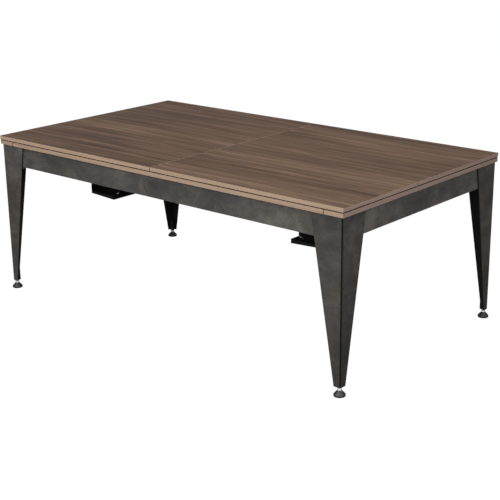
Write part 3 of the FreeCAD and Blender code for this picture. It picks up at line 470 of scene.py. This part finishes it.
def paint_all():
    """Gives every CAD node its material; each board and plate has a pattern of its own."""
    for name, sx in SIDES.items():
        paint(walnut("walnut_leaf_" + name, "X", (3.7 * sx, 1.3 * sx, 0.0)), "dining_leaf_" + name)
        paint(walnut("walnut_cap_" + name, "Y", (1.9, 5.0 * sx, 0.5)), "rail_cap_" + name)
        paint(MATERIALS["felt"], "leaf_pads_" + name)
        paint(MATERIALS["birch"], "leaf_battens_" + name, "sub_rail_" + name)
        paint(MATERIALS["powder"], "lift_tray_" + name)
        paint(MATERIALS["chrome"], "release_lever_" + name)
        paint(dark_steel("steel_apron_" + name, 4.0 + sx), "apron_" + name)
        paint(MATERIALS["cloth"], "cushion_" + name)
    for name, sy in DEPTHS.items():
        paint(walnut("walnut_cap_" + name, "X", (2.6, 3.1 * sy, 0.8)), "rail_cap_" + name)
        paint(MATERIALS["birch"], "sub_rail_" + name)
        paint(dark_steel("steel_apron_" + name, 9.0 + sy), "apron_" + name)
        paint(MATERIALS["rubber"], "pocket_" + name + "_middle")
    for index, name in enumerate(CORNERS):
        paint(dark_steel("steel_leg_" + name, 13.0 + index), "leg_" + name)
        paint(MATERIALS["plastic"], "foot_pad_" + name)
        paint(MATERIALS["chrome"], "foot_stem_" + name)
        paint(MATERIALS["rubber"], "pocket_" + name)
        paint(MATERIALS["cloth"], "cushion_" + name)
    paint(MATERIALS["powder"], "long_frame_beams", "end_frame_beams", "cross_beams", "bed_long_tubes",
          "bed_cross_tubes", "gas_cylinders")
    paint(MATERIALS["chrome"], "foot_locknuts", "gas_rods")
    paint(MATERIALS["zinc"], "rail_bolts")
    paint(MATERIALS["black_zinc"], "frame_bolts")
    paint(MATERIALS["powder"], "lever_pivots")
    paint(MATERIALS["slate"], "slate")
    paint(MATERIALS["cloth"], "bed_cloth")


paint_all()


# ---------------------------------------------------------------- cloth-covered cushions and the bed cloth
# Corners of a cushion's section: share of its depth from the nose, share of its height from the lower
# edge, and the radius that rounds the corner, as a share too.
CUSHION_CORNERS = [
    (-0.061, 0.899, 0.0647),                                            # rounded nose
    (0.74, 1.0, 0.6),
    (0.845, 1.0, 0.006), (0.858, 0.95, 0.008), (0.872, 1.0, 0.006),     # line where the cloth is tucked
    (1.0, 1.0, 0.03), (1.0, 0.0, 0.03),                                 # back, against the wood
    (0.74, 0.0, 0.05)]
CORNER_STEPS = 6


def rounded_outline(corners, steps):
    """A closed outline whose corners are each rounded by an arc."""
    outline = []
    for index, (u, v, radius) in enumerate(corners):
        corner = Vector((u, v))
        before = (Vector(corners[index - 1][:2]) - corner).normalized()
        after = (Vector(corners[(index + 1) % len(corners)][:2]) - corner).normalized()
        half = before.angle(after) / 2
        centre = corner + (before + after).normalized() * (radius / math.sin(half))
        start = corner + before * (radius / math.tan(half)) - centre
        turn = math.pi - 2 * half
        if start.x * before.y - start.y * before.x > 0:
            turn = -turn
        for step in range(steps + 1):
            outline.append(centre + Matrix.Rotation(turn * step / steps, 2) @ start)
    return outline


# Rings at each end: distance in from the facing, and how far the section is drawn in to its middle.
CUSHION_ENDS = [(0.0, 0.93), (0.0004, 0.965), (0.0011, 0.988), (0.0022, 1.0)]
CUSHION_STATIONS = 24
CUSHION_MIDDLE = (0.45, 0.62)     # point of the section that the end rings are drawn in to
NOSE_CURVE = 0.0015               # deeper than this behind the nose, the facings are straight
SAME_DEPTH = 2e-4
CUSHION_SECTION = rounded_outline(CUSHION_CORNERS, CORNER_STEPS)


def ends_along(points, along, deep, at):
    """Lowest and highest place along a cushion among its points at one depth."""
    found = [p[along] for p in points if abs(abs(p[deep]) - at) < SAME_DEPTH]
    return min(found), max(found)


def facings(name, along, deep, nose, back):
    """The straight ends of a cushion: where each is at the back, and how it slopes along the depth."""
    node = NODES[name]
    points = [node.matrix_world @ v.co for v in node.data.vertices]
    depths = sorted({round(abs(p[deep]), 4) for p in points})
    shallow = [d for d in depths if d > nose + NOSE_CURVE][0]
    near, far = ends_along(points, along, deep, shallow), ends_along(points, along, deep, back)
    slopes = [(far[k] - near[k]) / (back - shallow) for k in (0, 1)]
    return far, slopes


def skinned(mesh, loops):
    """Joins rings of vertices into one closed smooth skin with flat ends."""
    for a, b in zip(loops, loops[1:]):
        for k in range(len(a)):
            mesh.faces.new((a[k], a[k - 1], b[k - 1], b[k]))
    for loop in (loops[0], loops[-1]):
        mesh.faces.new(loop)
    bmesh.ops.recalc_face_normals(mesh, faces=mesh.faces)
    bmesh.ops.triangulate(mesh, faces=[f for f in mesh.faces if len(f.verts) > 4])
    for face in mesh.faces:
        face.smooth = True


def cushion_piece(name):
    """A rubber rail cushion in its cloth: rounded nose, a tucked line at the wood and rounded facings."""
    low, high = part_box(name)
    along = 0 if high.x - low.x > high.y - low.y else 1
    deep = 1 - along
    sign = 1.0 if low[deep] > 0 else -1.0
    nose, back = sorted((abs(low[deep]), abs(high[deep])))
    far, slopes = facings(name, along, deep, nose, back)
    rounding = CUSHION_ENDS[-1][0]
    rings = [(0, inset, draw) for inset, draw in CUSHION_ENDS]
    rings += [(k / CUSHION_STATIONS, None, 1.0) for k in range(1, CUSHION_STATIONS)]
    rings += [(1, inset, draw) for inset, draw in reversed(CUSHION_ENDS)]
    mesh = bmesh.new()
    loops = []
    for share, inset, draw in rings:
        loop = []
        for u, v in CUSHION_SECTION:
            u, v = (m + (part - m) * draw for m, part in zip(CUSHION_MIDDLE, (u, v)))
            depth = u * (back - nose)
            ends = [far[k] + slopes[k] * (depth - (back - nose)) for k in (0, 1)]
            if inset is None:
                place = ends[0] + rounding + share * (ends[1] - ends[0] - 2 * rounding)
            else:
                place = ends[share] + inset * (1 - 2 * share)
            spot = [0.0, 0.0, low.z + v * (high.z - low.z)]
            spot[along] = place
            spot[deep] = sign * (nose + depth)
            loop.append(mesh.verts.new(spot))
        loops.append(loop)
    skinned(mesh, loops)
    return finished_piece(mesh, "cloth_" + name, MATERIALS["cloth"], name)


def finished_piece(mesh, name, material, node):
    """Makes an object of a mesh, which rides on the bed and stands for a CAD node."""
    data = bpy.data.meshes.new(name)
    mesh.to_mesh(data)
    mesh.free()
    piece = bpy.data.objects.new(name, data)
    scene.collection.objects.link(piece)
    data.materials.append(material)
    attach(piece, "table_bed")
    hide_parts(node)
    return piece


ROLL_WIDTH = 0.0016       # edge of the bed cloth that is rolled down
ROLL_DROP = 0.0003
BED_CLOTH_THICKNESS = 0.0009
SAME_POINT = 1e-5         # vertices closer than this are one
UPWARD = 0.9              # least share of a face's normal that points up, on top of the cloth
TOP_SKIN = 1e-4           # faces lower than this below the top are not the top
FLAT_ANGLE = 0.01         # radians between faces that are joined into one


def bed_cloth_piece():
    """The bed cloth: one stretched sheet over the slate, rolled down a little round the pockets."""
    low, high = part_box("bed_cloth")
    mesh = bmesh.new()
    mesh.from_mesh(NODES["bed_cloth"].data)
    bmesh.ops.remove_doubles(mesh, verts=mesh.verts, dist=SAME_POINT)
    spare = [f for f in mesh.faces
             if f.normal.z < UPWARD or f.calc_center_median().z < high.z - TOP_SKIN]
    bmesh.ops.delete(mesh, geom=spare, context="FACES")
    bmesh.ops.dissolve_limit(mesh, angle_limit=FLAT_ANGLE, verts=mesh.verts, edges=mesh.edges)
    bmesh.ops.inset_region(mesh, faces=mesh.faces, thickness=ROLL_WIDTH, use_even_offset=True)
    for vert in mesh.verts:
        if vert.is_boundary:
            vert.co.z -= ROLL_DROP
    bmesh.ops.triangulate(mesh, faces=mesh.faces)
    area = sum(f.calc_area() for f in mesh.faces)
    piece = finished_piece(mesh, "cloth_bed", MATERIALS["cloth"], "bed_cloth")
    thick = piece.modifiers.new("thickness", "SOLIDIFY")
    thick.thickness = BED_CLOTH_THICKNESS
    thick.offset = -1.0


for cushion in [n for n in NODES if n.startswith("cushion_")]:
    cushion_piece(cushion)
bed_cloth_piece()


# ---------------------------------------------------------------- camera
SENSOR_WIDTH = 36.0       # mm, as is the lens
CLIP_END = 200.0


def aim_camera(place, azimuth, elevation, roll, lens):
    """Azimuth 0 looks along +Y; a positive azimuth stands to the right of the front."""
    data = bpy.data.cameras.new("camera")
    camera = bpy.data.objects.new("camera", data)
    scene.collection.objects.link(camera)
    a, e, r = (math.radians(v) for v in (azimuth, elevation, roll))
    forward = Vector((-math.sin(a) * math.cos(e), math.cos(a) * math.cos(e), -math.sin(e)))
    right = Vector((math.cos(a), math.sin(a), 0.0))
    down = -right.cross(forward)
    turned_right = math.cos(r) * right - math.sin(r) * down
    turned_down = math.sin(r) * right + math.cos(r) * down
    rotation = Matrix((turned_right, -turned_down, -forward)).transposed().to_4x4()
    camera.matrix_world = Matrix.Translation(place) @ rotation
    data.sensor_width = SENSOR_WIDTH
    data.lens = lens
    data.clip_end = CLIP_END
    scene.camera = camera


aim_camera(Vector((3.5252, -3.9704, 1.9841)), azimuth=41.08, elevation=17.97, roll=-0.67, lens=83.21)


# ---------------------------------------------------------------- studio
FLOOR_SIZE = 80.0
FLOOR_GAP = 0.0005        # floor below the feet
SEEN_WHITE = 1.02         # strength of the white that the camera sees
FLOOR_GREY = (0.22, 0.22, 0.22, 1.0)
WORLD_LIGHT = 0.45
# Each softbox: where it is, what it points at, its width and height in metres, and its power in watts.
SOFTBOXES = {
    "key": ((0.4, -4.8, 3.1), (0.1, 0, 0.6), 3.0, 2.0, 255.0),
    "overhead": ((0.2, -0.6, 4.2), (0, 0, 0.7), 3.5, 2.5, 102.0),
    "side_fill": ((4.4, -1.6, 2.6), (0.9, -0.3, 0.5), 2.0, 1.4, 115.0),
}


def white_for_camera(tree, seen, lit):
    """The camera sees one shader and everything else is lit by the other."""
    path = tree.nodes.new("ShaderNodeLightPath")
    choose = tree.nodes.new("ShaderNodeMixShader")
    tree.links.new(path.outputs["Is Camera Ray"], choose.inputs[0])
    tree.links.new(lit.outputs[0], choose.inputs[1])
    tree.links.new(seen.outputs[0], choose.inputs[2])
    return choose


def studio_floor():
    """A plain white floor, which isn't part of the object."""
    bpy.ops.mesh.primitive_plane_add(size=FLOOR_SIZE, location=(0, 0, -FLOOR_GAP))
    floor = bpy.context.object
    floor.name = "studio_floor"
    material = bpy.data.materials.new("studio_white")
    material.use_nodes = True
    tree = material.node_tree
    tree.nodes.remove(tree.nodes["Principled BSDF"])
    seen = tree.nodes.new("ShaderNodeEmission")
    seen.inputs["Strength"].default_value = SEEN_WHITE
    lit = tree.nodes.new("ShaderNodeBsdfDiffuse")
    lit.inputs["Color"].default_value = FLOOR_GREY
    choose = white_for_camera(tree, seen, lit)
    tree.links.new(choose.outputs[0], tree.nodes["Material Output"].inputs["Surface"])
    floor.data.materials.append(material)


def studio_world():
    """White all round, which lights the object less than it shows."""
    world = bpy.data.worlds.new("studio")
    world.use_nodes = True
    tree = world.node_tree
    seen = tree.nodes["Background"]
    seen.inputs["Color"].default_value = (1, 1, 1, 1)
    seen.inputs["Strength"].default_value = SEEN_WHITE
    lit = tree.nodes.new("ShaderNodeBackground")
    lit.inputs["Color"].default_value = (1, 1, 1, 1)
    lit.inputs["Strength"].default_value = WORLD_LIGHT
    choose = white_for_camera(tree, seen, lit)
    tree.links.new(choose.outputs[0], tree.nodes["World Output"].inputs["Surface"])
    scene.world = world


def softbox(name, place, target, width, height, power):
    """A rectangular light that points at a target."""
    data = bpy.data.lights.new(name, "AREA")
    data.shape = "RECTANGLE"
    data.size = width
    data.size_y = height
    data.energy = power
    light = bpy.data.objects.new(name, data)
    scene.collection.objects.link(light)
    light.location = place
    light.rotation_mode = "QUATERNION"
    light.rotation_quaternion = (Vector(target) - Vector(place)).to_track_quat("-Z", "Y")


studio_floor()
studio_world()
for box_name, settings in SOFTBOXES.items():
    softbox(box_name, *settings)
scene.view_settings.view_transform = "Standard"
scene.view_settings.look = "None"
